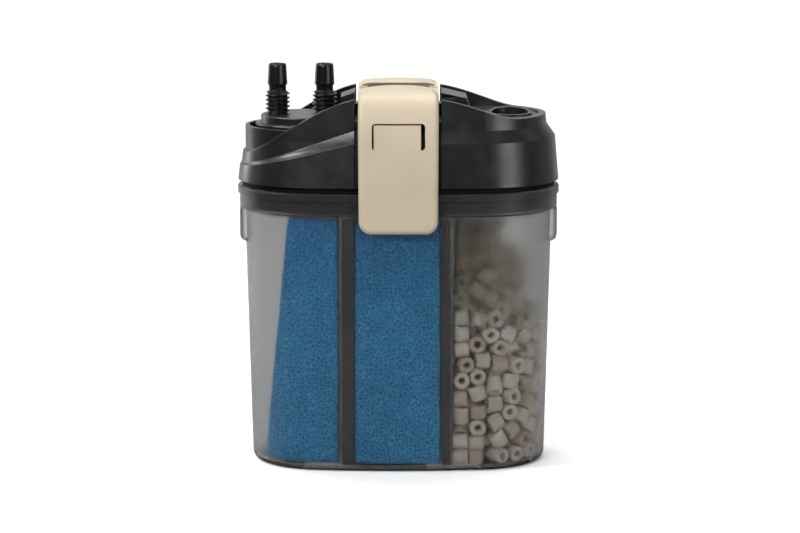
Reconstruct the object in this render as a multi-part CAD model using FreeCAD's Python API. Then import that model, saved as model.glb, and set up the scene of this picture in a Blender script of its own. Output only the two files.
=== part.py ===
"""Aquarium canister filter: a clear media tank, a motor lid with two hose nozzles, and two swing clips.

Frame: millimetres, +X to the right, -Y to the front, +Z up. The origin is the middle of the tank's base.
Every function below returns one sub-part, and main() writes each of them to parts/NODE.step.
"""
import FreeCAD
import Part
import math
import os
import random
from FreeCAD import Vector as V

# ---- driving dimensions -------------------------------------------------------------------------
RIM_HALF_LENGTH = 86.0          # tank flange, half of its length along X
RIM_HALF_DEPTH = 45.0           # tank flange, half of its depth along Y
CROWN = 2.5                     # how far the long sides bulge beyond the end arcs
RIM_TOP = 149.4                 # top of the tank flange
TOTAL_HEIGHT = 213.9            # tips of the hose nozzles
WALL = 2.2                      # tank wall
PLAY = 0.3                      # gap between pieces that come apart
FIT_GAP = 0.05                  # radial running clearance on pins and shaft

# ---- tank ---------------------------------------------------------------------------------------
BASE_HALF_LENGTH = 78.6
BASE_HALF_DEPTH = 41.6
NECK_HALF_LENGTH = 82.3
NECK_HALF_DEPTH = 42.6
NECK_TOP = 137.4                # where the flange starts
BAND_STEP = 145.1               # lower flange band up to here
BASE_THICKNESS = 2.4
BASE_FILLET = 4.5
EAR_LOW, EAR_HIGH = 120.5, 136.6
EAR_HALF_WIDTH = 9.0
CATCH_HALF_WIDTH = 12.0
CATCH_LOW, CATCH_HIGH = 139.4, 143.6
CATCH_DEPTH = 46.0
CATCH_SLOPE = 0.55              # rise of the catch's underside per mm outwards

# ---- media --------------------------------------------------------------------------------------
MEDIA_TOP = 136.0
LEFT_FLANGE = (-29.8, -23.7)    # X range of the left divider's edge flanges
RIGHT_FLANGE = (22.9, 27.5)     # X range of the right divider's edge flanges
FLANGE_DEPTH = 3.2              # how far those flanges stand in from the tank wall
RIB_WIDTH = 0.9                 # upright rib of the tank on the outer side of each divider
RIB_GAP = 0.2
DIVIDER_THICKNESS = 1.8
WEDGE_TOP_X, WEDGE_BASE_X = -58.2, -71.2
RING_RADIUS, RING_BORE, RING_LENGTH = 4.3, 1.8, 8.0
RING_PITCH = 12.8

# ---- lid ----------------------------------------------------------------------------------------
LID_BOTTOM = 152.5
SHOULDER = 168.0                # left shelf that the hose turret stands on
VALLEY = 186.8                  # floor between the two wings
WING_WALL = 3.2
RECESS_END, RECESS_SIDE = 0.8, 2.6   # how far the left wing is set back above its band
BAND_LOW = (176.3, 0.257)       # the band's lower line: height at the clip channel, and slope
BAND_HIGH = (182.6, 0.347)
CHANNEL = (-23.0, 22.6)         # X range of the clip channel
TURRET_X, TURRET_RADIUS, TURRET_TOP = -52.0, 29.8, 181.5
TURRET_WALL = 2.2
TURRET_FLOOR = 178.2
WELL_X, WELL_RADIUS, WELL_WALL = 59.6, 9.8, 2.2
WELL_TOP, WELL_FLOOR = 187.7, 168.0
WELL_RISE = 0.17                # rise of the well's rim per mm towards the rear
GLAND_RADIUS = 4.0
POST_X, POST_Y, POST_RADIUS = 45.0, 28.5, 3.8
SCREW_RADIUS, SCREW_HEAD_RADIUS = 1.5, 2.8

# ---- clips --------------------------------------------------------------------------------------
CLIP_HALF_WIDTH = 21.2
CLIP_LOWER_HALF_WIDTH = 20.8
CLIP_WALL = 2.8
CLIP_SKIRT = 4.2
CLIP_BOTTOM, CLIP_TOP = 128.8, 203.6
CLIP_SIDE_WALL = 2.2
CLIP_SHOULDER = (4.8, 6.2)      # width and depth of the solid shoulders over the pivot
CLIP_ROUNDING = 2.8             # radius along the clip's long outer edges
PIVOT_Y, PIVOT_Z = 14.0, 197.0
CLIP_EYE_RADIUS = 7.1
CLIP_END_ANGLE = 50.0
EAR_RADIUS = 5.0
PIN_RADIUS = 1.5
KNUCKLE_RADIUS = 3.3
KNUCKLE_HALF_WIDTH = 15.0
WINDOW = (-13.8, 14.0, 173.2, 186.9)
WINDOW_CORNER = 1.7
TONGUE_GAP_LEFT, TONGUE_GAP_RIGHT, TONGUE_GAP_TOP = 0.9, 2.2, 0.8

# ---- pump ---------------------------------------------------------------------------------------
PUMP_X = 6.0
SKIRT_BOTTOM = 138.6
SKIRT_WALL = 4.6
PLATE_BOTTOM = 147.0
HEAD_TOP = 152.5
CHAMBER_RADIUS, CHAMBER_WALL = 17.0, 2.0
CAN_INNER, CAN_OUTER, CAN_TOP = 8.6, 10.2, 178.0
SHAFT_RADIUS = 1.5
MAGNET_RADIUS = 7.6
CORE_LOW, CORE_HIGH = 155.5, 170.5
NOZZLE_X = (-64.5, -39.4)       # inlet, outlet
NOZZLE_BORE = 3.3
PIPE_OUTER, PIPE_INNER = 6.0, 4.2
CAP_LOWER_RADIUS, CAP_UPPER_RADIUS = 24.4, 21.4
CAP_STEP, CAP_TOP = 182.8, 187.0


# ---- helpers ------------------------------------------------------------------------------------
def arc(start, middle, end):
    return Part.Arc(V(*start), V(*middle), V(*end)).toShape()


def plan_wire(half_length, half_depth, z):
    """Rounded oblong outline: two end arcs joined tangentially by two slightly crowned long sides."""
    end_radius = half_depth - CROWN
    centre = half_length - end_radius
    crown_radius = (centre ** 2 + half_depth ** 2 - end_radius ** 2) / (2 * CROWN)
    reach = end_radius / (crown_radius - end_radius)
    tx = centre + centre * reach
    ty = (crown_radius - half_depth) * reach
    edges = [
        arc((tx, -ty, z), (half_length, 0, z), (tx, ty, z)),
        arc((tx, ty, z), (0, half_depth, z), (-tx, ty, z)),
        arc((-tx, ty, z), (-half_length, 0, z), (-tx, -ty, z)),
        arc((-tx, -ty, z), (0, -half_depth, z), (tx, -ty, z)),
    ]
    return Part.Wire(edges)


def plan_solid(*sections):
    """Straight-sided solid through (half_length, half_depth, z) sections."""
    wires = [plan_wire(*section) for section in sections]
    pieces = [Part.makeLoft(list(pair), True, True) for pair in zip(wires, wires[1:])]
    return join(pieces)


def join(pieces):
    whole = pieces[0]
    for piece in pieces[1:]:
        whole = whole.fuse(piece)
    return whole.removeSplitter()


def cut(shape, *tools):
    for tool in tools:
        shape = shape.cut(tool)
    return shape


def box(x0, x1, y0, y1, z0, z1):
    return Part.makeBox(x1 - x0, y1 - y0, z1 - z0, V(x0, y0, z0))


def cylinder(radius, z0, z1, x=0.0, y=0.0):
    return Part.makeCylinder(radius, z1 - z0, V(x, y, z0))


def tube(outer, inner, z0, z1, x=0.0, y=0.0):
    return cylinder(outer, z0, z1, x, y).cut(cylinder(inner, z0 - 1, z1 + 1, x, y))


def x_cylinder(radius, x0, x1, y, z):
    return Part.makeCylinder(radius, x1 - x0, V(x0, y, z), V(1, 0, 0))


def prism_x(points, x0, x1):
    """Polygon given as (y, z) points, extruded from x0 to x1."""
    outline = Part.makePolygon([V(x0, y, z) for y, z in points + points[:1]])
    return Part.Face(outline).extrude(V(x1 - x0, 0, 0))


def prism_y(points, y0, y1):
    """Polygon given as (x, z) points, extruded from y0 to y1."""
    outline = Part.makePolygon([V(x, y0, z) for x, z in points + points[:1]])
    return Part.Face(outline).extrude(V(0, y1 - y0, 0))


def revolve_z(points, x=0.0, y=0.0):
    """Closed (radius, z) outline turned about a vertical axis."""
    outline = Part.makePolygon([V(x + r, y, z) for r, z in points + points[:1]])
    return Part.Face(outline).revolve(V(x, y, 0), V(0, 0, 1), 360)


def curve_through(points):
    curve = Part.BSplineCurve()
    curve.interpolate([V(*point) for point in points])
    return curve


def to_rear(shape):
    return shape.mirror(V(0, 0, 0), V(0, 1, 0))


def one_solid(shape):
    """The largest solid of a boolean result."""
    return max(shape.Solids, key=lambda solid: solid.Volume)


# ---- tank and media -----------------------------------------------------------------------------
def taper(z):
    """Outer half length and half depth of the tank wall at height z."""
    share = z / NECK_TOP
    return (BASE_HALF_LENGTH + share * (NECK_HALF_LENGTH - BASE_HALF_LENGTH),
            BASE_HALF_DEPTH + share * (NECK_HALF_DEPTH - BASE_HALF_DEPTH))


def wall_solid(inset, z0, z1):
    """Solid that follows the tapered tank wall, inset from its outer face."""
    low, high = taper(z0), taper(z1)
    return plan_solid((low[0] - inset, low[1] - inset, z0), (high[0] - inset, high[1] - inset, z1))


def cavity(inset, z0, z1):
    """Space inside the tank, kept a further inset away from its inner face."""
    below = wall_solid(WALL + inset, z0, min(z1, NECK_TOP))
    if z1 <= NECK_TOP:
        return below
    a, b = NECK_HALF_LENGTH - WALL - inset, NECK_HALF_DEPTH - WALL - inset
    return join([below, plan_solid((a, b, NECK_TOP), (a, b, z1))])


def filleted_cavity(inset, low, high):
    """The cavity with its floor edge rounded like the inside of the tank."""
    space = cavity(inset, low, high)
    floor_edges = [edge for edge in space.Edges if edge.BoundBox.ZMax < low + 0.01]
    return space.makeFillet(BASE_FILLET - WALL, floor_edges)


def ribs():
    """Upright ribs, front and rear, that the fine sponge presses each divider against."""
    zone = wall_solid(WALL / 2, 1.0, NECK_TOP).cut(cavity(FLANGE_DEPTH, 0.5, NECK_TOP))
    left = LEFT_FLANGE[0] - RIB_GAP
    right = RIGHT_FLANGE[1] + RIB_GAP
    slabs = [box(x0, x0 + RIB_WIDTH, -60, 60, BASE_THICKNESS - 0.5, MEDIA_TOP)
             for x0 in (left - RIB_WIDTH, right)]
    return [slab.common(zone) for slab in slabs]


def catch():
    """Ledge under the flange that the front clip's hook grips, with a sloped underside."""
    inner = RIM_HALF_DEPTH - 3
    rise = CATCH_SLOPE * (CATCH_DEPTH - inner)
    profile = [(-inner, CATCH_LOW - 1.2), (-CATCH_DEPTH, CATCH_LOW - 1.2 + rise),
               (-CATCH_DEPTH, CATCH_HIGH), (-inner, CATCH_HIGH + 2)]
    return prism_x(profile, -CATCH_HALF_WIDTH, CATCH_HALF_WIDTH)


def ear(side):
    """Upright grip rib on one end of the tank, rounded at its foot."""
    reach = side * (RIM_HALF_LENGTH - 0.8)
    root = side * 80.6
    low = EAR_LOW + 2.5
    profile = [(root, EAR_LOW - 1.5), (reach - side * 1.6, EAR_LOW), (reach, low), (reach, EAR_HIGH),
               (root, EAR_HIGH)]
    rib = prism_y(profile, -EAR_HALF_WIDTH, EAR_HALF_WIDTH)
    a, b = RIM_HALF_LENGTH - 0.8, RIM_HALF_DEPTH - 0.8
    return rib.common(plan_solid((a, b, EAR_LOW - 2), (a, b, EAR_HIGH + 1)))


def tank():
    body = wall_solid(0, 0, NECK_TOP)
    base_edges = [edge for edge in body.Edges if edge.BoundBox.ZMax < 0.01]
    body = body.makeFillet(BASE_FILLET, base_edges)
    a, b = RIM_HALF_LENGTH, RIM_HALF_DEPTH
    flange = plan_solid((NECK_HALF_LENGTH - 0.2, NECK_HALF_DEPTH - 0.2, NECK_TOP - 0.6),
                        (a - 1.0, b - 0.9, NECK_TOP + 0.8), (a - 1.0, b - 0.9, BAND_STEP),
                        (a, b, BAND_STEP + 0.4), (a, b, RIM_TOP - 0.5), (a - 0.5, b - 0.5, RIM_TOP))
    ledge = catch()
    body = join([body, flange, ledge, to_rear(ledge), ear(1), ear(-1)])
    body = body.cut(filleted_cavity(0, BASE_THICKNESS, RIM_TOP + 2))
    for rib in ribs():
        body = body.fuse(rib)
    return one_solid(body.removeSplitter())


def divider(x0, x1):
    """Slotted partition with a broad flange along each upright edge."""
    middle = (x0 + x1) / 2
    half = DIVIDER_THICKNESS / 2
    low = BASE_THICKNESS + PLAY
    room = filleted_cavity(PLAY, low, MEDIA_TOP)
    edges = box(x0, x1, -60, 60, low, MEDIA_TOP).cut(cavity(FLANGE_DEPTH, low - 1, MEDIA_TOP + 1))
    plate = box(middle - half, middle + half, -60, 60, low, MEDIA_TOP)
    plate = join([plate.common(room), edges.common(room)])
    rows, columns = 10, 5
    slot_depth, slot_height = 9.0, 3.0
    for row in range(rows):
        for column in range(columns):
            y = (column - (columns - 1) / 2) * 12.6
            z = 14.0 + row * 11.6
            plate = plate.cut(box(middle - 5, middle + 5, y - slot_depth / 2, y + slot_depth / 2,
                                  z, z + slot_height))
    return plate


def sponge_coarse():
    x1 = LEFT_FLANGE[0] - RIB_GAP - RIB_WIDTH - PLAY
    low, high = BASE_THICKNESS + 0.8, MEDIA_TOP
    wedge = prism_y([(WEDGE_BASE_X, low), (x1, low), (x1, high), (WEDGE_TOP_X, high)], -60, 60)
    return wedge.common(filleted_cavity(0.8, low, high))


def sponge_fine():
    low, high = BASE_THICKNESS + 0.8, MEDIA_TOP
    block = box(LEFT_FLANGE[1] + PLAY, RIGHT_FLANGE[0] - PLAY, -60, 60, low, high)
    return block.common(filleted_cavity(0.8, low, high))


def ceramic_rings():
    """Loose hollow rings: each has its own tilt inside its own cell, so that none touch."""
    rng = random.Random(7)
    reach = math.hypot(RING_RADIUS, RING_LENGTH / 2)
    room = cavity(reach + 0.4, BASE_THICKNESS + reach, MEDIA_TOP - reach)
    pieces = []
    rows = int((MEDIA_TOP - BASE_THICKNESS) / (RING_PITCH * 0.9))
    for level in range(rows):
        shift = (level % 2) * RING_PITCH / 2
        for column in range(4):
            for line in range(7):
                centre = V(RIGHT_FLANGE[1] + reach + 1.4 + column * RING_PITCH + shift * 0.3,
                           (line - 3) * RING_PITCH + shift,
                           BASE_THICKNESS + reach + 0.5 + level * RING_PITCH * 0.97)
                if not room.isInside(centre, 0.01, False):
                    continue
                axis = V(rng.uniform(-1, 1), rng.uniform(-1, 1), rng.uniform(-1, 1)).normalize()
                start = centre - axis * (RING_LENGTH / 2)
                ring = Part.makeCylinder(RING_RADIUS, RING_LENGTH, start, axis)
                bore = Part.makeCylinder(RING_BORE, RING_LENGTH + 2, start - axis, axis)
                pieces.append(ring.cut(bore))
    return Part.makeCompound(pieces)


# ---- lid shell ----------------------------------------------------------------------------------
def left_half():
    """Left of the lid: a swept band sets the upper wing back from the lower wall."""
    sections = [(85.8, 44.8, LID_BOTTOM), (83.0, 43.0, 176.0), (81.5, 41.8, 202.0)]
    wall = plan_solid(*sections)
    setback = plan_solid(*[(a - RECESS_END, b - RECESS_SIDE, z) for a, b, z in sections])
    under = wall.common(tilted(*BAND_LOW))
    over = setback.cut(tilted(*BAND_HIGH))
    band = Part.makeLoft([top_outline(wall, *BAND_LOW), top_outline(setback, *BAND_HIGH)], True, True)
    return join([under, band, over]).common(box(-100, 0, -60, 60, LID_BOTTOM, 210))


def tilted(height, slope):
    """Everything below the plane that passes z = height at the clip channel and falls to the left."""
    x0 = CHANNEL[0]
    left, right = -120.0, 120.0
    points = [(left, 100), (right, 100), (right, height + slope * (right - x0)),
              (left, height + slope * (left - x0))]
    return prism_y(points, -80, 80)


def top_outline(solid, height, slope):
    normal = V(-slope, 0, 1).normalize()
    point = V(CHANNEL[0], 0, height)
    return solid.slice(normal, normal.dot(point))[0]


def right_half():
    whole = plan_solid((85.8, 44.8, LID_BOTTOM), (83.8, 43.4, 175.9), (79.2, 40.8, 182.4),
                       (77.2, 38.8, 202.0))
    return whole.common(box(0, 100, -60, 60, LID_BOTTOM, 210))


def above_roof():
    """Everything above the wings' ridge line, which climbs to the clip channel from both ends."""
    left_line = [(-92, 167.0), (-79, 169.0), (-66.7, 176.1), (-51.5, 186.2), (-36, 194.4), (-22, 199.0)]
    right_line = [(20, 198.8), (36, 195.4), (49, 191.1), (60, 188.1), (69, 187.7), (78, 187.8), (92, 187.9)]
    left = curve_through([(x, 0, z) for x, z in left_line])
    right = curve_through([(x, 0, z) for x, z in right_line])
    rest = Part.makePolygon([right.EndPoint, V(92, 0, 230), V(-92, 0, 230), left.StartPoint])
    bridge = Part.makeLine(left.EndPoint, right.StartPoint)
    outline = Part.Wire([left.toShape(), bridge, right.toShape()] + rest.Edges)
    face = Part.Face(outline)
    face.translate(V(0, -80, 0))
    return face.extrude(V(0, 160, 0))


def channel():
    """Recess for the front clip, cut across the front wall and the top."""
    profile = [(-60, 150), (-42.2, 150), (-41.4, 165), (-40.0, 178), (-35.0, VALLEY), (0, VALLEY),
               (0, 230), (-60, 230)]
    return prism_x(profile, *CHANNEL)


def lid_shell():
    body = left_half().fuse(right_half()).removeSplitter()
    body = body.cut(above_roof())
    a, b = 77.2 - WING_WALL, 38.8 - WING_WALL
    right_valley = plan_solid((a + 1.2, b + 1.0, VALLEY), (a, b, 210)).common(
        box(CHANNEL[0], 100, -60, 60, VALLEY - 1, 211))
    left_valley = plan_solid((80.4 - WING_WALL, 40.4 - WING_WALL, SHOULDER),
                             (78.9 - WING_WALL, 39.2 - WING_WALL, 210)).common(
        box(-100, CHANNEL[0], -60, 60, SHOULDER - 1, 211))
    front_channel = channel()
    body = cut(body, right_valley, left_valley, front_channel, to_rear(front_channel))
    turret = cylinder(TURRET_RADIUS, SHOULDER - 2, TURRET_TOP, TURRET_X)
    body = join([body, turret, well_boss()])
    body = cut(body, cylinder(TURRET_RADIUS - TURRET_WALL, TURRET_FLOOR, 200, TURRET_X), lid_hollow(),
               cylinder(WELL_RADIUS, WELL_FLOOR, 200, WELL_X),
               cylinder(GLAND_RADIUS, 150, 200, WELL_X))
    for x in NOZZLE_X:
        body = body.cut(cylinder(PIPE_OUTER, 150, 200, x))
    for x in (-POST_X, POST_X):
        for y in (-POST_Y, POST_Y):
            body = body.cut(cylinder(SCREW_RADIUS, LID_BOTTOM - 1, LID_BOTTOM + 12, x, y))
    return one_solid(body)


def well_boss():
    """Outside of the cable well, whose rim climbs behind the middle of the hole."""
    outer = WELL_RADIUS + WELL_WALL
    boss = cylinder(outer, WELL_FLOOR - 2, WELL_TOP + WELL_RISE * outer, WELL_X)
    above = prism_x([(-outer - 1, WELL_TOP), (0, WELL_TOP), (outer + 1, WELL_TOP + WELL_RISE * (outer + 1)),
                     (outer + 1, WELL_TOP + 20), (-outer - 1, WELL_TOP + 20)],
                    WELL_X - outer - 1, WELL_X + outer + 1)
    return boss.cut(above)


def lid_hollow():
    """Space inside the lid for the motor and pipes, with the screw posts and cable well left standing."""
    roof = SHOULDER - 2.2
    low = plan_solid((83.0, 42.2, LID_BOTTOM - 1), (80.6, 40.6, roof))
    upper = plan_solid((80.6, 40.6, roof), (76.2, 37.8, 180.5), (74.0, 35.8, VALLEY - 2.6))
    upper = upper.common(box(CHANNEL[0] + 3, 100, -60, 60, 150, 200))
    under_turret = cylinder(TURRET_RADIUS - TURRET_WALL - 0.5, SHOULDER - 3, TURRET_FLOOR - 2.2, TURRET_X)
    space = join([low, upper, under_turret])
    strip = prism_x([(-60, 140), (-38.8, 140), (-38.8, 172), (-32.0, 183), (-32.0, 200), (-60, 200)],
                    CHANNEL[0] - 2.2, CHANNEL[1] + 2.2)
    posts = [cylinder(POST_RADIUS, 140, 200, x, y) for x in (-POST_X, POST_X) for y in (-POST_Y, POST_Y)]
    well = cylinder(WELL_RADIUS + WELL_WALL, WELL_FLOOR - 2, 200, WELL_X)
    return cut(space, strip, to_rear(strip), well, *posts)


def hinge_block():
    """Raised block along the middle of the lid that carries both clip pins in its knuckles."""
    top, end_top, middle_top = 199.6, 196.6, 193.0
    right = prism_y([(CHANNEL[1] + 0.3, VALLEY), (39.4, VALLEY), (36.2, end_top), (CHANNEL[1] + 0.3, top)],
                    -13, 13)
    overhang = CAP_TOP + 0.4
    left = prism_y([(CHANNEL[0] - 0.3, overhang), (CHANNEL[0] - 0.3, top), (-30.6, end_top + 0.4),
                    (-31.2, overhang)], -11, 11)
    core = box(CHANNEL[0] - 0.3, CHANNEL[1] + 0.3, -5.6, 5.6, VALLEY, middle_top)
    pieces = [left, core, right]
    for side in (-1, 1):
        y = side * PIVOT_Y
        pieces.append(x_cylinder(KNUCKLE_RADIUS, -KNUCKLE_HALF_WIDTH, KNUCKLE_HALF_WIDTH, y, PIVOT_Z))
        pieces.append(box(-KNUCKLE_HALF_WIDTH, KNUCKLE_HALF_WIDTH, y - 1.9, y + 1.9, VALLEY, PIVOT_Z))
    block = join(pieces)
    for side in (-1, 1):
        block = block.cut(x_cylinder(PIN_RADIUS, -30, 30, side * PIVOT_Y, PIVOT_Z))
    return one_solid(block)


# ---- clips --------------------------------------------------------------------------------------
CLIP_SPINE = [(-PIVOT_Y, PIVOT_Z + CLIP_EYE_RADIUS), (-28.0, 202.9), (-38.4, 197.9), (-44.2, 189.0),
              (-47.2, 177.0), (-49.0, 155.0), (-50.0, CLIP_BOTTOM)]


def clip_curve(depth):
    """The clip's outer line in the Y-Z plane, moved inwards by depth."""
    base = Part.BSplineCurve()
    points = [V(0, y, z) for y, z in CLIP_SPINE]
    base.interpolate(Points=points, InitialTangent=V(0, -1, 0), FinalTangent=V(0, -0.06, -1))
    if depth == 0:
        return base
    moved = []
    first, last = base.FirstParameter, base.LastParameter
    count = 14
    for index in range(count + 1):
        u = first + (last - first) * index / count
        point = base.value(u)
        along = base.tangent(u)[0]
        moved.append(point + V(0, -along.z, along.y) * depth)
    inner = Part.BSplineCurve()
    inner.interpolate(moved)
    return inner


def clip_layer(depth_outer, depth_inner, x0, x1):
    """Solid between two depths of the clip's line."""
    outer = clip_curve(depth_outer)
    inner = clip_curve(depth_inner)
    a0, a1 = outer.value(outer.FirstParameter), outer.value(outer.LastParameter)
    b0, b1 = inner.value(inner.FirstParameter), inner.value(inner.LastParameter)
    wire = Part.Wire([outer.toShape(), Part.makeLine(a1, b1), inner.toShape(), Part.makeLine(b0, a0)])
    face = Part.Face(wire)
    face.translate(V(x0, 0, 0))
    return face.extrude(V(x1 - x0, 0, 0))


def clip_eye(x0, x1):
    """Curled inner end of the clip, concentric with its pin."""
    disc = x_cylinder(CLIP_EYE_RADIUS, x0, x1, -PIVOT_Y, PIVOT_Z)
    far = 30.0
    angle = math.radians(CLIP_END_ANGLE)
    sector = prism_x([(-PIVOT_Y, PIVOT_Z), (-PIVOT_Y + far * math.cos(angle), PIVOT_Z + far * math.sin(angle)),
                      (-PIVOT_Y, PIVOT_Z + far)], x0, x1)
    return disc.common(sector)


def on_outer_face(edge):
    """True where the whole edge lies on the clip's outer line."""
    outer = clip_curve(0)
    first, last = edge.FirstParameter, edge.LastParameter
    for share in (0.02, 0.5, 0.98):
        point = edge.valueAt(first + share * (last - first))
        point = V(0, point.y, point.z)
        if outer.value(outer.parameter(point)).distanceToPoint(point) > 0.03:
            return False
    return True


def clip_block():
    """The clip as a solid arched block, with its front rounded all round, then hollowed from behind."""
    half = CLIP_HALF_WIDTH
    shoulder, depth = CLIP_SHOULDER
    block = join([clip_layer(0, depth, -half, half), clip_eye(-half, half)])
    block = block.common(clip_outline())
    block = block.makeFillet(CLIP_ROUNDING, [edge for edge in block.Edges if on_outer_face(edge)])
    over_pivot = box(-half - 1, half + 1, -60, 0, PIVOT_Z - 8, PIVOT_Z + 20)
    inside, inside_shoulders = half - CLIP_SIDE_WALL, half - shoulder
    below = clip_layer(CLIP_WALL, depth + 0.5, -inside, inside).cut(over_pivot)
    behind_skirts = clip_layer(CLIP_SKIRT, depth + 0.5, -half - 1, half + 1).cut(over_pivot)
    above = clip_layer(CLIP_WALL, depth + 0.5, -inside_shoulders, inside_shoulders)
    eye = x_cylinder(CLIP_EYE_RADIUS - CLIP_WALL, -inside_shoulders, inside_shoulders, -PIVOT_Y, PIVOT_Z)
    return cut(block, below, behind_skirts, above, eye)


def clip_ears():
    """Discs round the pin at both ends, each joined to the shoulder in front of it."""
    half = CLIP_HALF_WIDTH
    pieces = []
    for x0 in (-half, half - CLIP_SHOULDER[0]):
        x1 = x0 + CLIP_SHOULDER[0]
        disc = x_cylinder(EAR_RADIUS, x0, x1, -PIVOT_Y, PIVOT_Z)
        web = prism_x([(-PIVOT_Y, PIVOT_Z + 5.0), (-PIVOT_Y - 9.0, PIVOT_Z + 2.5),
                       (-PIVOT_Y - 9.0, PIVOT_Z + 1.5), (-PIVOT_Y - 1.0, PIVOT_Z - 4.9)], x0, x1)
        pieces += [disc, web]
    return pieces


def front_clip():
    """Swing clip: arched plate with side skirts, pin ears, a window with a tongue, and a hook."""
    body = join([clip_block()] + clip_ears())
    x0, x1, z0, z1 = WINDOW
    window = box(x0, x1, -60, -PIVOT_Y - 20, z0, z1)
    window = window.makeFillet(WINDOW_CORNER, [edge for edge in window.Edges if edge.BoundBox.YLength > 1])
    body = body.cut(window)
    tongue = clip_layer(0.7, CLIP_WALL, x0 + TONGUE_GAP_LEFT, x1 - TONGUE_GAP_RIGHT)
    tongue = tongue.common(box(-30, 30, -60, -PIVOT_Y - 20, z0 - 2, z1 - TONGUE_GAP_TOP))
    hook_top, hook_low = CATCH_LOW - 2.4, 132.0
    grip, root = -43.4, -47.6
    hook = prism_x([(grip, hook_low + 2.5), (grip, hook_top), (root, hook_top + CATCH_SLOPE * (grip - root)),
                    (root, hook_low)], -CATCH_HALF_WIDTH + 1, CATCH_HALF_WIDTH - 1)
    body = join([body, tongue, hook])
    body = body.cut(x_cylinder(PIN_RADIUS + FIT_GAP, -30, 30, -PIVOT_Y, PIVOT_Z))
    notch = box(x0, x1, -60, -40, CLIP_BOTTOM - 1, CLIP_BOTTOM + 0.3)
    return one_solid(body.cut(notch))


def clip_outline():
    """Front view of the clip: slightly tapered, with rounded corners and a crowned top."""
    half, low_half = CLIP_HALF_WIDTH, CLIP_LOWER_HALF_WIDTH
    low_corner, top_corner, crown = 6.8, 4.4, 1.5
    low, high = CLIP_BOTTOM, CLIP_TOP
    shoulder = high - crown - top_corner
    a = low_corner * (1 - math.sqrt(0.5))
    b = top_corner * (1 - math.sqrt(0.5))
    right = [
        arc((low_half - low_corner, 0, low), (low_half - a, 0, low + a), (low_half, 0, low + low_corner)),
        Part.makeLine(V(low_half, 0, low + low_corner), V(half, 0, shoulder)),
        arc((half, 0, shoulder), (half - b, 0, high - crown - b), (half - top_corner, 0, high - crown)),
    ]
    left = [edge.mirror(V(0, 0, 0), V(1, 0, 0)) for edge in right]
    bottom = Part.makeLine(V(low_corner - low_half, 0, low), V(low_half - low_corner, 0, low))
    top = arc((half - top_corner, 0, high - crown), (0, 0, high), (top_corner - half, 0, high - crown))
    face = Part.Face(Part.Wire(Part.__sortEdges__([bottom, top] + right + left)))
    face.translate(V(0, -80, 0))
    return face.extrude(V(0, 160, 0))


def clip_pin():
    reach = CLIP_HALF_WIDTH - 0.4
    return x_cylinder(PIN_RADIUS, -reach, reach, -PIVOT_Y, PIVOT_Z)


# ---- pump and motor -----------------------------------------------------------------------------
def pump_head():
    """Plug that closes the tank: sealing skirt, plate, pump chamber and the rotor's can."""
    a, b = NECK_HALF_LENGTH - WALL - 0.9, NECK_HALF_DEPTH - WALL - 0.9
    plug = plan_solid((a - 0.8, b - 0.8, SKIRT_BOTTOM), (a, b, SKIRT_BOTTOM + 0.8), (a, b, RIM_TOP + PLAY))
    inner = plan_solid((a - SKIRT_WALL, b - SKIRT_WALL, SKIRT_BOTTOM - 1),
                       (a - SKIRT_WALL, b - SKIRT_WALL, PLATE_BOTTOM))
    rim = plan_solid((83.5, 42.5, RIM_TOP + PLAY), (83.5, 42.5, HEAD_TOP))
    groove = seal_ring(0.0)
    body = cut(join([plug.cut(inner), rim]), groove)
    chamber = tube(CHAMBER_RADIUS + CHAMBER_WALL, CHAMBER_RADIUS, 140.6, PLATE_BOTTOM + 0.5, PUMP_X)
    can = cylinder(CAN_OUTER, PLATE_BOTTOM, CAN_TOP, PUMP_X)
    duct = box(NOZZLE_X[1] - 7.6, PUMP_X - 10, -7.6, 7.6, 139.0, PLATE_BOTTOM + 0.5)
    duct_space = box(NOZZLE_X[1] - 6, PUMP_X - 8, -6, 6, 140.8, PLATE_BOTTOM)
    body = join([body, chamber, can, duct])
    body = cut(body, cylinder(CAN_INNER, 135, CAN_TOP - 1.8, PUMP_X),
               cylinder(CHAMBER_RADIUS, 139.5, PLATE_BOTTOM, PUMP_X), duct_space)
    body = body.cut(cylinder(CHAMBER_RADIUS + CHAMBER_WALL, 130, 140.6, PUMP_X))
    for x in NOZZLE_X:
        body = body.cut(cylinder(PIPE_OUTER, 141.5, 200, x))
    body = body.cut(cylinder(PIPE_INNER, 130, 200, NOZZLE_X[0]))
    for x in (-POST_X, POST_X):
        for y in (-POST_Y, POST_Y):
            body = body.cut(cylinder(SCREW_RADIUS, 130, 200, x, y))
    return one_solid(body)


def seal_ring(clearance):
    """Flat-sided ring round the skirt, with its outer face just short of the tank wall."""
    low, high = 141.6 + clearance, 145.2 - clearance
    a, b = NECK_HALF_LENGTH - WALL - PLAY, NECK_HALF_DEPTH - WALL - PLAY
    deep = 2.8
    outer = plan_solid((a - 0.5, b - 0.5, low), (a, b, low + 0.7), (a, b, high - 0.7), (a - 0.5, b - 0.5, high))
    return outer.cut(plan_solid((a - deep, b - deep, low - 1), (a - deep, b - deep, high + 1)))


def seal_gasket():
    return seal_ring(0.1)


def pump_cover():
    """Disc under the pump chamber with a ring of inlet slots round the lower bush."""
    low, high = 138.6, 140.6
    disc = cylinder(CHAMBER_RADIUS + CHAMBER_WALL, low, high, PUMP_X)
    inlet = tube(9.5, 5.2, low - 1, high + 1, PUMP_X)
    spoke_count = 3
    for index in range(spoke_count):
        spoke = box(0, 12, -1.1, 1.1, low - 2, high + 2)
        spoke.rotate(V(0, 0, 0), V(0, 0, 1), 360 * index / spoke_count)
        spoke.translate(V(PUMP_X, 0, 0))
        inlet = inlet.cut(spoke)
    return cut(disc, inlet, cylinder(3.2, low - 1, high + 1, PUMP_X))


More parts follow.
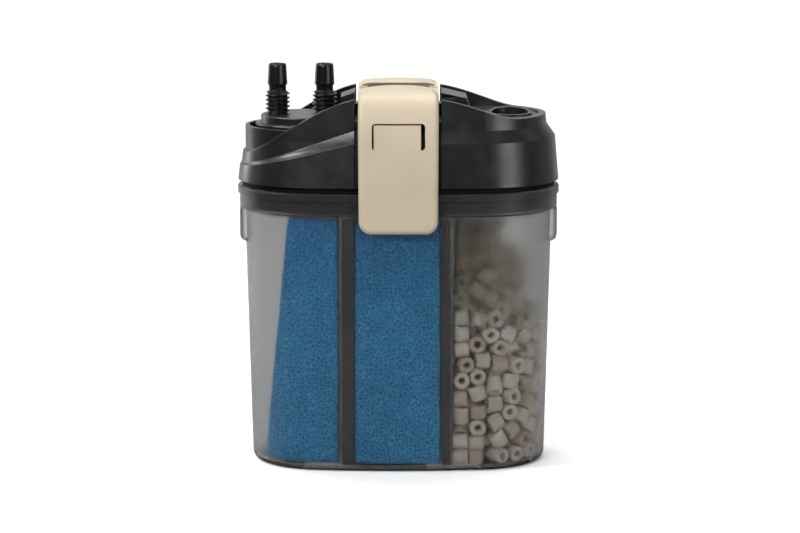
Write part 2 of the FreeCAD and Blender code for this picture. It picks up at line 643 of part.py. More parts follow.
def impeller():
    """Rotor's lower end: a back disc with six blades and a sleeve that holds the magnet."""
    disc = cylinder(14.0, 145.0, 146.2, PUMP_X)
    sleeve = cylinder(4.6, 142.4, 152.0, PUMP_X)
    pieces = [disc, sleeve]
    blade_count = 6
    for index in range(blade_count):
        blade = box(3.5, 13.6, -0.6, 0.6, 142.0, 145.2)
        blade.rotate(V(0, 0, 0), V(0, 0, 1), 360 * index / blade_count)
        blade.translate(V(PUMP_X, 0, 0))
        pieces.append(blade)
    return join(pieces).cut(cylinder(SHAFT_RADIUS + FIT_GAP, 130, 180, PUMP_X))


def rotor_magnet():
    body = tube(MAGNET_RADIUS, SHAFT_RADIUS + FIT_GAP, 148.0, 170.6, PUMP_X)
    return body.cut(cylinder(4.6, 147, 152.0, PUMP_X))


def impeller_shaft():
    return cylinder(SHAFT_RADIUS, 138.9, 175.6, PUMP_X)


def shaft_bush_upper():
    sleeve = cylinder(CAN_INNER - 0.1, 172.0, CAN_TOP - 1.8, PUMP_X)
    return sleeve.cut(cylinder(SHAFT_RADIUS, 170, 175.6, PUMP_X))


def shaft_bush_lower():
    body = cylinder(3.2, 138.3, 141.2, PUMP_X)
    return body.cut(cylinder(SHAFT_RADIUS, 138.9, 150, PUMP_X))


def stator_core():
    """Laminated U round the rotor's can: two legs along X joined by a yoke."""
    legs = [box(PUMP_X - 12, PUMP_X + 34, side * 12 - 5, side * 12 + 5, CORE_LOW, CORE_HIGH)
            for side in (-1, 1)]
    yoke = box(PUMP_X + 27, PUMP_X + 34, -12, 12, CORE_LOW, CORE_HIGH)
    return join(legs + [yoke]).cut(cylinder(CAN_OUTER + 0.2, 150, 180, PUMP_X))


def stator_coil(side):
    """Winding on one leg of the core, rounded at its corners."""
    x0, x1 = PUMP_X + 12.5, PUMP_X + 26.5
    y = side * 12
    over = 1.9
    body = box(x0, x1, y - 5 - over - 0.1, y + 5 + over + 0.1, CORE_LOW - over - 0.1, CORE_HIGH + over + 0.1)
    body = body.makeFillet(1.5, [edge for edge in body.Edges if abs(edge.tangentAt(0).x) > 0.9])
    return body.cut(box(x0 - 1, x1 + 1, y - 5.1, y + 5.1, CORE_LOW - 0.1, CORE_HIGH + 0.1))


def coil_bobbin(side):
    """End flanges of one winding."""
    y = side * 12
    pieces = []
    for x0 in (PUMP_X + 11.3, PUMP_X + 26.6):
        x1 = x0 + 0.4 if x0 > PUMP_X + 20 else x0 + 1.1
        plate = box(x0, x1, y - 7.2, y + 7.2, CORE_LOW - 2.2, CORE_HIGH + 2.2)
        pieces.append(plate.cut(box(x0 - 1, x1 + 1, y - 5.1, y + 5.1, CORE_LOW - 0.1, CORE_HIGH + 0.1)))
    return Part.makeCompound(pieces)


# ---- water path ---------------------------------------------------------------------------------
def riser(x):
    """Pipe from the pump head up to the turret floor."""
    return tube(PIPE_OUTER, PIPE_INNER, 141.5, TURRET_FLOOR, x)


def hose_cap():
    """Round cap in the turret: a lower collar, a raised disc and the two nozzle sockets."""
    low = TURRET_FLOOR
    body = join([cylinder(CAP_LOWER_RADIUS, low, CAP_STEP, TURRET_X),
                 cylinder(CAP_UPPER_RADIUS, CAP_STEP - 1, CAP_TOP, TURRET_X)])
    rims = [edge for edge in body.Edges
            if edge.BoundBox.ZLength < 0.01 and edge.BoundBox.ZMin > CAP_STEP - 0.1
            and edge.BoundBox.XLength > 2 * CAP_UPPER_RADIUS - 0.1
            and not (abs(edge.BoundBox.ZMin - CAP_STEP) < 0.01 and edge.BoundBox.XLength < 2 * 22)]
    body = body.makeFillet(0.8, rims)
    seat = cylinder(CAP_LOWER_RADIUS - 2.2, low - 1, low + 2.4, TURRET_X)
    seat = seat.cut(cylinder(CAP_LOWER_RADIUS - 4.6, low - 2, low + 3, TURRET_X))
    body = body.cut(seat)
    for x in NOZZLE_X:
        body = body.cut(cylinder(5.0, low - 1, 200, x))
    return body


def cap_seal():
    low = TURRET_FLOOR
    return tube(CAP_LOWER_RADIUS - 2.3, CAP_LOWER_RADIUS - 4.5, low, low + 2.3, TURRET_X)


def nozzle(x):
    """Hose tail: base collar, screw ridges for the hose nut, neck and tapered tip."""
    crest, root, pitch, turns = 6.6, 5.3, 2.3, 5
    thread_low = TOTAL_HEIGHT - 26.6
    outline = [(NOZZLE_BORE, TURRET_FLOOR + 0.2), (5.0, TURRET_FLOOR + 0.2), (5.0, CAP_TOP),
               (7.4, CAP_TOP), (6.4, CAP_TOP + 0.7), (root, CAP_TOP + 0.9)]
    for turn in range(turns):
        z = thread_low + 0.9 + turn * pitch
        outline += [(root, z), (crest, z + 0.9), (crest, z + 1.2), (root, z + 2.1)]
    neck = TOTAL_HEIGHT - 14.6
    outline += [(5.1, neck), (4.6, neck + 0.4), (4.6, neck + 3.0), (5.35, neck + 3.6),
                (4.75, TOTAL_HEIGHT - 0.8), (4.3, TOTAL_HEIGHT), (NOZZLE_BORE, TOTAL_HEIGHT)]
    return revolve_z(outline, x)


def cable_gland():
    """Rubber grommet in the floor of the cable well."""
    outline = [(0, WELL_FLOOR - 4.4), (5.4, WELL_FLOOR - 4.4), (5.4, WELL_FLOOR - 2.0),
               (GLAND_RADIUS, WELL_FLOOR - 2.0), (GLAND_RADIUS, WELL_FLOOR), (5.6, WELL_FLOOR),
               (5.6, WELL_FLOOR + 2.0), (3.6, WELL_FLOOR + 3.0), (2.6, WELL_FLOOR + 7.0),
               (0, WELL_FLOOR + 7.0)]
    return revolve_z(outline, WELL_X)


def lid_screws():
    """Four screws up through the pump head into the lid's posts."""
    pieces = []
    for x in (-POST_X, POST_X):
        for y in (-POST_Y, POST_Y):
            head = cylinder(SCREW_HEAD_RADIUS, PLATE_BOTTOM - 2.0, PLATE_BOTTOM, x, y)
            shank = cylinder(SCREW_RADIUS, PLATE_BOTTOM - 0.5, LID_BOTTOM + 11, x, y)
            drive = box(x - 2.0, x + 2.0, y - 0.4, y + 0.4, PLATE_BOTTOM - 3, PLATE_BOTTOM - 1.2)
            pieces.append(head.fuse(shank).cut(drive))
    return Part.makeCompound(pieces)


def main():
    os.makedirs("parts", exist_ok=True)
    clip = front_clip()
    pin = clip_pin()
    nodes = {
        "tank": tank(),
        "divider_left": divider(*LEFT_FLANGE),
        "divider_right": divider(*RIGHT_FLANGE),
        "sponge_coarse": sponge_coarse(),
        "sponge_fine": sponge_fine(),
        "ceramic_rings": ceramic_rings(),
        "lid_shell": lid_shell(),
        "hinge_block": hinge_block(),
        "front_clip": clip,
        "rear_clip": to_rear(clip),
        "front_clip_pin": pin,
        "rear_clip_pin": to_rear(pin),
        "pump_head": pump_head(),
        "seal_gasket": seal_gasket(),
        "pump_cover": pump_cover(),
        "impeller": impeller(),
        "rotor_magnet": rotor_magnet(),
        "impeller_shaft": impeller_shaft(),
        "shaft_bush_upper": shaft_bush_upper(),
        "shaft_bush_lower": shaft_bush_lower(),
        "stator_core": stator_core(),
        "stator_coil_front": stator_coil(-1),
        "stator_coil_rear": stator_coil(1),
        "coil_bobbin_front": coil_bobbin(-1),
        "coil_bobbin_rear": coil_bobbin(1),
        "inlet_riser": riser(NOZZLE_X[0]),
        "outlet_riser": riser(NOZZLE_X[1]),
        "hose_cap": hose_cap(),
        "cap_seal": cap_seal(),
        "inlet_nozzle": nozzle(NOZZLE_X[0]),
        "outlet_nozzle": nozzle(NOZZLE_X[1]),
        "cable_gland": cable_gland(),
        "lid_screws": lid_screws(),
    }
    for name, shape in nodes.items():
        shape.exportStep("parts/" + name + ".step")
        bounds = shape.BoundBox
        print("%-20s valid %s solids %3d volume %9.0f  x %.1f..%.1f y %.1f..%.1f z %.1f..%.1f" % (
            name, shape.isValid(), len(shape.Solids), shape.Volume, bounds.XMin, bounds.XMax,
            bounds.YMin, bounds.YMax, bounds.ZMin, bounds.ZMax))


main()
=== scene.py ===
"""Looks for the aquarium canister filter.

A smoke-clear tank with blue foam and loose ceramic rings, a black lid with two hose tails, and two
beige clips. Everything is in metres in the CAD frame: +X right, -Y front, +Z up, base on z = 0.
"""

import math
import random

import bpy
import numpy as np
from mathutils import Euler, Matrix, Vector, noise


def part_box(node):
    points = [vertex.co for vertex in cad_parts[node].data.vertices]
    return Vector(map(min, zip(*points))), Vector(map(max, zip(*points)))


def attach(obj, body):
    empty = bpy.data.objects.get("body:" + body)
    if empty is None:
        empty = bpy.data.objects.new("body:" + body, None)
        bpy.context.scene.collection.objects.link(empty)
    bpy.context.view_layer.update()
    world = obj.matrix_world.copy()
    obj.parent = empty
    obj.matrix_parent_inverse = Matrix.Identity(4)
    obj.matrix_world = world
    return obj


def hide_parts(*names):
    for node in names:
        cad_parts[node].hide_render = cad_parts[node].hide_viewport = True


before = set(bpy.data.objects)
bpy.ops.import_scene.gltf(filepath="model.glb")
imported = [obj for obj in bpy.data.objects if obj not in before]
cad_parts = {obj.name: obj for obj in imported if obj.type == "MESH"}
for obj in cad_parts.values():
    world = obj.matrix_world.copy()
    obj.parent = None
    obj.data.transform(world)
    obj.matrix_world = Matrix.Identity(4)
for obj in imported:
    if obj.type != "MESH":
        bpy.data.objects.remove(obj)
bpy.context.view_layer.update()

MM = 0.001
WHITE = (1.0, 1.0, 1.0)

# ---- camera and studio --------------------------------------------------------------------------
CAMERA_TARGET = Vector((0.00086, 0.0, 0.10404))
CAMERA_DISTANCE = 1.84
CAMERA_ELEVATION = math.radians(9.55)
CAMERA_LENS = 153.8
SENSOR_WIDTH = 36.0
FRONT_GLOW, BACK_GLOW = 0.08, 0.95      # the world's strength on the camera's side, and behind
GLOW_Y = (-0.22, 0.60)                  # where it changes, as the Y part of the direction
PAPER_BOUNCE = (0.30, 0.30, 0.30)       # the paper as the object's diffuse light sees it
PAPER_BEHIND = (0.48, 0.486, 0.498)     # as seen through the tank
PAPER_NEAR = (0.055, 0.055, 0.055)      # as mirrored, in front of the object
PAPER_FAR = (0.58, 0.58, 0.58)          # as mirrored, behind it
PAPER_Y = (-0.2, 1.3)                   # where the mirrored shade changes
SWEEP_FRONT, SWEEP_BACK = -4.0, 1.6     # ends of the flat floor
SWEEP_BEND = 0.8                        # radius of the bend behind it
SWEEP_TOP = 4.0
SWEEP_HALF_WIDTH = 6.0
SWEEP_STEPS = 12
LIGHTS = (                              # name, place, target, width, height, watts
    ("paper_light", (0.0, 0.9, 2.6), (0, 1.6, 0.4), 3.0, 1.2, 71.0),
    ("top_box", (0.0, 0.1, 1.5), (0, 0.05, 0.1), 1.2, 0.8, 1.5),
    ("left_box", (-1.3, 1.0, 0.5), (0, 0, 0.12), 0.4, 1.1, 7.0),
    ("left_high_box", (-1.0, -0.4, 1.2), (0, 0, 0.15), 0.5, 0.4, 13.0),
    ("right_box", (1.03, -1.02, 0.45), (0, 0, 0.12), 0.72, 0.9, 9.0),
    ("front_box", (-1.05, -2.35, 1.45), (0, 0, 0.12), 1.5, 0.8, 52.0),
)

# ---- tank tint, per wall surface ----------------------------------------------------------------
WALL_TINT = (0.63, 0.62, 0.605)
WALL_STREAK = 1.05                      # how much lighter its clearest places are
WALL_IOR = 1.38
WALL_ROUGHNESS = 0.22
HAZE_ROUGHNESS = 0.16                   # added beside the upper rings, which stand off the wall
HAZE_X = (0.024, 0.036)                 # where that haze sets in to the right
HAZE_Z = (0.066, 0.104)                 # and upward
FLANGE_SHARE = (0.19, 0.19, 0.195)      # the flange's part of the tint
FLANGE_CLARITY = 0.86                   # its transmission
FLANGE_END_SHARE = 0.45                 # how much of both its ends get
FLANGE_Z = (0.1350, 0.1392)             # where the flange sets in upward
FLANGE_END_X = (0.0790, 0.0855)         # where its ends do, outward
GRIP_SHARE = (0.42, 0.42, 0.42)         # the end grips, seen edge on
GRIP_X = (0.0824, 0.0834)

# ---- shade on what the tank holds ---------------------------------------------------------------
FOAM_SHADE = (0.50, 0.68, 0.78)         # on the foam under the lid
FOAM_SHADE_Z = (0.085, 0.135)
RING_SHADE = (0.50, 0.48, 0.41)         # painted shade on the upper rings, where the pump head shades them
RING_SHADE_Z = (0.072, 0.100)

# ---- foam skin ----------------------------------------------------------------------------------
FOAM_GRID = 1.7 * MM
FOAM_INSET = 0.2 * MM
FOAM_ROUGH = 0.25 * MM                  # small swellings of the skin, and their spacing
FOAM_ROUGH_SCALE = 260.0
FOAM_SWELL = 0.30 * MM                  # large ones
FOAM_SWELL_SCALE = 45.0

# ---- ceramic rings ------------------------------------------------------------------------------
RING_RADIUS = 4.3 * MM
RING_BORE = 1.8 * MM
RING_LENGTH = 8.0 * MM
RING_EDGE = 0.45 * MM
RING_COLUMNS = 22
RING_COUNT = 290
GIRTH_RANGE = (-0.03, 0.03)             # how rings differ, as a share of their size
LENGTH_RANGE = (-0.16, 0.06)
FILL_TOP = 0.1345
HEAP_EDGE = 0.074                       # height at which the heap leaves the wall
HEAP_LEAN = 0.42                        # how far it then leans in per metre of height
MIDDLE_SLACK = 2 * MM                   # how far a ring may pass the middle of the tank

# ---- ring chamber -------------------------------------------------------------------------------
CHAMBER_END = 0.0786                    # half length of the tank outside, at its foot
CHAMBER_SIDE = 0.0417                   # half depth there
CHAMBER_WALL = 2.2 * MM
CHAMBER_FLOOR = 2.5 * MM
CHAMBER_SLACK = 0.3 * MM                # kept free inside the walls
CORNER_FLAT = 2.5 * MM                  # how much smaller the end arc is than the half depth
SIDE_DIP = 0.4 * MM                     # how much narrower the chamber is at the divider
DIVIDER_GAP = 1.2 * MM
TAPER_HEIGHT = 0.1374
TAPER_SPREAD = 0.07                     # how much longer the chamber is at that height
ARC_STEPS = 12

# ---- dropping the rings -------------------------------------------------------------------------
SIM_SCALE = 20.0                        # rigid bodies settle better when they are this much larger
SIM_FRAMES = 230
SIM_SUBSTEPS = 10
SIM_ITERATIONS = 12
SIM_FRICTION = 0.35
SIM_RESTITUTION = 0.05
SIM_MARGIN = 0.002                      # at the scale of the simulation
SIM_MASS = 0.05
SIM_DAMPING = 0.1
SIM_SPIN_DAMPING = 0.2
SLAB_HEIGHT = 0.42                      # walls of the box the rings drop into
SLAB_THICKNESS = 0.02
DROP_START = (6.2 * MM, 6.4 * MM, 8 * MM)   # first ring, from the divider, middle and floor
DROP_PITCH = 11.9 * MM
DROP_SQUEEZE = 0.97                     # the rows are this much closer than the columns
DROP_LAYERS = ((4, 3), (3, 2))          # columns and rows of two layers, which repeat upward
DROP_WOBBLE = 0.4 * MM
DROP_SEED, PILE_SEED, LATTICE_SEED = 11, 5, 3
CUBE = [(x, y, z) for x in (-0.5, 0.5) for y in (-0.5, 0.5) for z in (-0.5, 0.5)]
CUBE_FACES = [(0, 1, 3, 2), (4, 6, 7, 5), (0, 4, 5, 1), (2, 3, 7, 6), (0, 2, 6, 4), (1, 5, 7, 3)]

# ---- hose tails, heights measured from the tip --------------------------------------------------
NOZZLE_COLUMNS = 72
NOZZLE_BORE = 3.3 * MM
THREAD_PITCH = 2.3 * MM
THREAD_ROOT = 5.3 * MM
THREAD_CREST = 6.6 * MM
THREAD_LOW, THREAD_HIGH = -26.4 * MM, -14.6 * MM
THREAD_RIDGE = ([0, 0.16, 0.44, 0.56, 0.84, 1.0], [0, 0, 1, 1, 0, 0])   # over one turn
THREAD_RUN_IN, THREAD_RUN_OUT = 1.2 * MM, 0.9 * MM
THREAD_BLEND = 0.4 * MM
FOOT_LOW, FOOT_RADIUS = -26.9 * MM, 7.3 * MM
NECK_LOW, NECK_HIGH, NECK_RADIUS = -14.2 * MM, -11.5 * MM, 4.6 * MM
SHOULDER, SHOULDER_RADIUS = -10.9 * MM, 5.35 * MM
TIP_EDGE, TIP_EDGE_RADIUS, TIP_RADIUS = -0.8 * MM, 4.75 * MM, 4.35 * MM
THREAD_LEVELS = np.arange(-26.9, -14.0, 0.14)       # in millimetres
TIP_LEVELS = (-14.2, -13.0, -11.5, -11.3, -10.9, -10.6, -8.0, -5.0, -2.0, -0.8, -0.4, -0.15, 0)
LIP = ((4.1 * MM, 0.0), (NOZZLE_BORE + 0.25 * MM, 0.0), (NOZZLE_BORE, -0.3 * MM),
       (NOZZLE_BORE, -20.0 * MM))       # radius and height, over the tip and down the bore


# ---- small tools --------------------------------------------------------------------------------
def link(obj):
    bpy.context.scene.collection.objects.link(obj)
    return obj


def mesh_object(name, vertices, faces, smooth=True):
    mesh = bpy.data.meshes.new(name)
    mesh.from_pydata([tuple(v) for v in vertices], [], faces)
    mesh.update()
    if smooth:
        mesh.shade_smooth()
    return link(bpy.data.objects.new(name, mesh))


def apply_modifiers(obj):
    graph = bpy.context.evaluated_depsgraph_get()
    mesh = bpy.data.meshes.new_from_object(obj.evaluated_get(graph))
    obj.modifiers.clear()
    obj.data = mesh


def paint(obj, material):
    obj.data.materials.clear()
    obj.data.materials.append(material)
    return obj


# ---- materials ----------------------------------------------------------------------------------
class Finish:
    """A Principled material with helpers for procedural colour, roughness and bump."""

    def __init__(self, name, **values):
        self.material = bpy.data.materials.new(name)
        self.material.use_nodes = True
        self.tree = self.material.node_tree
        self.shader = self.tree.nodes["Principled BSDF"]
        for socket, value in values.items():
            self.shader.inputs[socket.replace("_", " ")].default_value = value
        self.place = self.tree.nodes.new("ShaderNodeTexCoord").outputs["Object"]

    def axis(self, letter):
        """One of the object's own coordinates."""
        node = self.tree.nodes.new("ShaderNodeSeparateXYZ")
        self.tree.links.new(self.place, node.inputs["Vector"])
        return node.outputs[letter]

    def noise(self, scale, detail=3.0, rough=0.5):
        node = self.tree.nodes.new("ShaderNodeTexNoise")
        node.inputs["Scale"].default_value = scale
        node.inputs["Detail"].default_value = detail
        node.inputs["Roughness"].default_value = rough
        self.tree.links.new(self.place, node.inputs["Vector"])
        return node.outputs["Fac"]

    def cells(self, scale, feature="F1"):
        node = self.tree.nodes.new("ShaderNodeTexVoronoi")
        node.feature = feature
        node.inputs["Scale"].default_value = scale
        self.tree.links.new(self.place, node.inputs["Vector"])
        return node.outputs["Distance"]

    def ramp(self, source, *stops):
        node = self.tree.nodes.new("ShaderNodeValToRGB")
        elements = node.color_ramp.elements
        while len(elements) < len(stops):
            elements.new(0.5)
        for element, (position, colour) in zip(elements, stops):
            element.position = position
            element.color = (*colour, 1.0)
        self.tree.links.new(source, node.inputs["Fac"])
        return node.outputs["Color"]

    def span(self, source, low, high, from_low=0.3, from_high=0.7):
        node = self.tree.nodes.new("ShaderNodeMapRange")
        node.inputs["From Min"].default_value = from_low
        node.inputs["From Max"].default_value = from_high
        node.inputs["To Min"].default_value = low
        node.inputs["To Max"].default_value = high
        self.tree.links.new(source, node.inputs["Value"])
        return node.outputs["Result"]

    def fade_up(self, colour, low, high):
        """White below the first height, and this colour above the second."""
        height = self.span(self.axis("Z"), 0.0, 1.0, low, high)
        return self.ramp(height, (0.0, WHITE), (1.0, colour))

    def calculate(self, operation, first, second):
        """Arithmetic on two sockets, or on a socket and a number."""
        node = self.tree.nodes.new("ShaderNodeMath")
        node.operation = operation
        self.tree.links.new(first, node.inputs[0])
        if isinstance(second, float):
            node.inputs[1].default_value = second
        else:
            self.tree.links.new(second, node.inputs[1])
        return node.outputs[0]

    def multiply(self, first, second, share=1.0):
        node = self.tree.nodes.new("ShaderNodeMix")
        node.data_type = "RGBA"
        node.blend_type = "MULTIPLY"
        node.inputs["Factor"].default_value = share
        self.tree.links.new(first, node.inputs["A"])
        self.tree.links.new(second, node.inputs["B"])
        return node.outputs["Result"]

    def colour(self, source):
        self.tree.links.new(source, self.shader.inputs["Base Color"])
        return self

    def roughness(self, source):
        self.tree.links.new(source, self.shader.inputs["Roughness"])
        return self

    def transmission(self, source):
        self.tree.links.new(source, self.shader.inputs["Transmission Weight"])
        return self

    def diffuse(self, colour):
        node = self.tree.nodes.new("ShaderNodeBsdfDiffuse")
        node.inputs["Color"].default_value = (*colour, 1.0)
        return node.outputs["BSDF"]

    def choose(self, share, first, second):
        """Mixes two shaders."""
        node = self.tree.nodes.new("ShaderNodeMixShader")
        self.tree.links.new(share, node.inputs["Fac"])
        self.tree.links.new(first, node.inputs[1])
        self.tree.links.new(second, node.inputs[2])
        return node.outputs["Shader"]

    def soft_edges(self, radius):
        """Shades sharp edges as if they had this radius, as every moulded edge has."""
        node = self.tree.nodes.new("ShaderNodeBevel")
        node.samples = 6
        node.inputs["Radius"].default_value = radius
        self.tree.links.new(node.outputs["Normal"], self.shader.inputs["Normal"])
        return self

    def bump(self, source, height, strength=1.0):
        node = self.tree.nodes.new("ShaderNodeBump")
        node.inputs["Distance"].default_value = height
        node.inputs["Strength"].default_value = strength
        previous = self.shader.inputs["Normal"].links
        if previous:
            self.tree.links.new(previous[0].from_socket, node.inputs["Normal"])
        self.tree.links.new(source, node.inputs["Height"])
        self.tree.links.new(node.outputs["Normal"], self.shader.inputs["Normal"])
        return self


def moulded(name, dark, light, rough, grain=2600.0, grain_height=0.03 * MM, edge=0.4 * MM,
            specular=0.5):
    """Moulded plastic: a fine grain, with slow changes of shade and gloss across the part."""
    finish = Finish(name, Specular_IOR_Level=specular)
    finish.soft_edges(edge)
    finish.colour(finish.ramp(finish.noise(38.0), (0.35, dark), (0.65, light)))
    finish.roughness(finish.span(finish.noise(120.0, 4.0), rough - 0.04, rough + 0.05))
    finish.bump(finish.noise(grain, 2.0), grain_height, 0.6)
    return finish.material


def smoke_plastic():
    """Smoke-clear moulding, frosted, so what touches the wall is sharper than what is behind it.

    Its tint deepens in the flange, where the wall is thickest and the black pump head stands
    behind it, less so at the flange's ends, and it is hazier beside the upper rings.
    """
    finish = Finish("smoke_clear", IOR=WALL_IOR)
    x, z = finish.axis("X"), finish.axis("Z")
    from_middle = finish.calculate("MULTIPLY", x, x)
    high = finish.span(z, 0.0, 1.0, *FLANGE_Z)
    inward = finish.span(from_middle, 1.0, FLANGE_END_SHARE, *(edge ** 2 for edge in FLANGE_END_X))
    flange = finish.calculate("MULTIPLY", high, inward)
    clearest = [c * WALL_STREAK for c in WALL_TINT]
    tint = finish.ramp(finish.noise(14.0), (0.3, WALL_TINT), (0.7, clearest))
    deep = finish.ramp(flange, (0.0, WHITE), (1.0, FLANGE_SHARE))
    outermost = finish.span(from_middle, 0.0, 1.0, *(edge ** 2 for edge in GRIP_X))
    grips = finish.ramp(outermost, (0.0, WHITE), (1.0, GRIP_SHARE))
    finish.colour(finish.multiply(finish.multiply(tint, deep), grips))
    finish.transmission(finish.span(flange, 1.0, FLANGE_CLARITY, 0.0, 1.0))
    even = finish.span(finish.noise(60.0), 0.0, 0.03)
    beside_rings = finish.span(x, 0.0, 1.0, *HAZE_X)
    high_up = finish.span(z, 0.0, HAZE_ROUGHNESS, *HAZE_Z)
    haze = finish.calculate("MULTIPLY", beside_rings, high_up)
    finish.roughness(finish.calculate("ADD", finish.calculate("ADD", even, haze), WALL_ROUGHNESS))
    return finish.material


def open_cell_foam():
    """Blue reticulated foam: a net of small pores over larger mottling."""
    finish = Finish("blue_foam", Roughness=0.95, Sheen_Weight=0.15)
    pores = finish.cells(560.0)
    net = finish.cells(480.0, "DISTANCE_TO_EDGE")
    fine = finish.cells(1150.0)
    body = finish.ramp(net, (0.01, (0.10, 0.50, 0.93)), (0.13, (0.018, 0.270, 0.60)),
                       (0.4, (0.011, 0.215, 0.51)))
    mottling = finish.ramp(finish.noise(95.0, 4.0), (0.32, (0.80, 0.82, 0.85)), (0.68, WHITE))
    under_lid = finish.fade_up(FOAM_SHADE, *FOAM_SHADE_Z)
    finish.colour(finish.multiply(finish.multiply(body, mottling), under_lid))
    finish.bump(pores, 0.7 * MM, 0.8)
    finish.bump(fine, 0.3 * MM, 0.6)
    return finish.material


def fired_ceramic():
    """Dull ceramic, pitted and dusty, that differs from ring to ring, with painted shade darkening
    the upper rings.
    """
    finish = Finish("fired_ceramic", Roughness=0.85)
    tone = finish.tree.nodes.new("ShaderNodeAttribute")
    tone.attribute_name = "tone"
    body = finish.ramp(tone.outputs["Fac"], (0.0, (0.70, 0.57, 0.46)), (0.22, (0.76, 0.68, 0.58)),
                       (0.32, (0.80, 0.77, 0.70)), (1.0, (0.93, 0.91, 0.85)))
    dust = finish.ramp(finish.noise(900.0, 4.0), (0.3, (0.80, 0.79, 0.77)), (0.7, WHITE))
    # painted shade: the rings grow darker upward, under the pump head
    shaded_top = finish.fade_up(RING_SHADE, *RING_SHADE_Z)
    finish.colour(finish.multiply(finish.multiply(body, dust), shaded_top))
    finish.bump(finish.noise(1500.0, 4.0), 0.12 * MM, 0.8)
    return finish.material


def brushed(name, colour, rough=0.3):
    finish = Finish(name, Metallic=1.0)
    darker = [c * 0.85 for c in colour]
    finish.colour(finish.ramp(finish.noise(400.0), (0.3, darker), (0.7, colour)))
    finish.roughness(finish.span(finish.noise(900.0), rough, rough + 0.12))
    return finish.material


def wound_copper():
    finish = Finish("enamelled_copper", Metallic=0.8)
    wave = finish.tree.nodes.new("ShaderNodeTexWave")
    wave.bands_direction = "X"
    wave.inputs["Scale"].default_value = 800.0
    finish.tree.links.new(finish.place, wave.inputs["Vector"])
    finish.colour(finish.ramp(wave.outputs["Fac"], (0.0, (0.20, 0.06, 0.02)),
                              (1.0, (0.62, 0.25, 0.10))))
    finish.roughness(finish.span(finish.noise(500.0), 0.25, 0.4))
    finish.bump(wave.outputs["Fac"], 0.2 * MM)
    return finish.material


def dress_cad_nodes():
    """Gives every carried-over CAD node its material."""
    black = moulded("satin_black", (0.0045, 0.0055, 0.0058), (0.007, 0.008, 0.0084), 0.31,
                    specular=0.55)
    # painted shade: a darker, duller copy of the black moulding for the pump head, which is seen
    # only in the shaded recess under the lid and through the flange
    recess_shade_black = moulded("recess_shade_black", (0.002, 0.002, 0.002), (0.003, 0.003, 0.003), 0.62,
                         specular=0.1)
    grey = moulded("divider_grey", (0.038, 0.040, 0.044), (0.055, 0.057, 0.062), 0.40)
    beige = moulded("satin_beige", (0.44, 0.367, 0.272), (0.47, 0.392, 0.292), 0.42,
                    grain=3000.0, grain_height=0.02 * MM, specular=0.3)
    rubber = moulded("seal_rubber", (0.009, 0.009, 0.009), (0.015, 0.015, 0.015), 0.62,
                     grain=1800.0, grain_height=0.04 * MM)
    white = moulded("white_nylon", (0.70, 0.70, 0.67), (0.80, 0.80, 0.77), 0.35)
    glossy = moulded("gloss_black", (0.003, 0.003, 0.003), (0.006, 0.006, 0.006), 0.26,
                     grain=900.0, grain_height=0.005 * MM, specular=0.28)
    steel = brushed("pin_steel", (0.60, 0.60, 0.61))
    laminate = brushed("core_steel", (0.30, 0.30, 0.31), 0.4)
    ferrite = moulded("ferrite", (0.05, 0.05, 0.055), (0.09, 0.09, 0.095), 0.5)
    copper = wound_copper()
    materials = {
        "tank": smoke_plastic(), "pump_head": recess_shade_black,
        "divider_left": grey, "divider_right": grey,
        "sponge_coarse": open_cell_foam(), "sponge_fine": open_cell_foam(),
        "ceramic_rings": fired_ceramic(),
        "front_clip": beige, "rear_clip": beige,
        "front_clip_pin": steel, "rear_clip_pin": steel, "lid_screws": steel,
        "seal_gasket": rubber, "cap_seal": rubber, "cable_gland": rubber,
        "shaft_bush_upper": rubber, "shaft_bush_lower": rubber,
        "impeller": white, "impeller_shaft": white,
        "coil_bobbin_front": white, "coil_bobbin_rear": white,
        "rotor_magnet": ferrite, "stator_core": laminate,
        "stator_coil_front": copper, "stator_coil_rear": copper,
        "inlet_nozzle": glossy, "outlet_nozzle": glossy,
    }
    for name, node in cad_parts.items():
        paint(node, materials.get(name, black))
    return materials


# ---- hose tails ---------------------------------------------------------------------------------
def nozzle_radius(z, angle):
    """Outside radius at height z below the tip, where the screw ridge climbs with the angle."""
    if z > TIP_EDGE:
        return np.interp(z, [TIP_EDGE, 0], [TIP_EDGE_RADIUS, TIP_RADIUS])
    if z > SHOULDER:
        return np.interp(z, [SHOULDER, TIP_EDGE], [SHOULDER_RADIUS, TIP_EDGE_RADIUS])
    if z > NECK_LOW:
        return np.interp(z, [NECK_LOW, NECK_HIGH, SHOULDER],
                         [NECK_RADIUS, NECK_RADIUS, SHOULDER_RADIUS])
    if z > THREAD_LOW:
        turn = (z - THREAD_LOW) / THREAD_PITCH - angle / math.tau
        ridge = np.interp(turn % 1.0, *THREAD_RIDGE)
        ends = np.interp(z, [THREAD_LOW, THREAD_LOW + THREAD_RUN_IN,
                             THREAD_HIGH - THREAD_RUN_OUT, THREAD_HIGH], [0, 1, 1, 0])
        body = THREAD_ROOT + (THREAD_CREST - THREAD_ROOT) * ridge * ends
        return np.interp(z, [THREAD_HIGH - THREAD_BLEND, NECK_LOW], [body, NECK_RADIUS])
    return np.interp(z, [FOOT_LOW, THREAD_LOW], [FOOT_RADIUS, THREAD_ROOT])


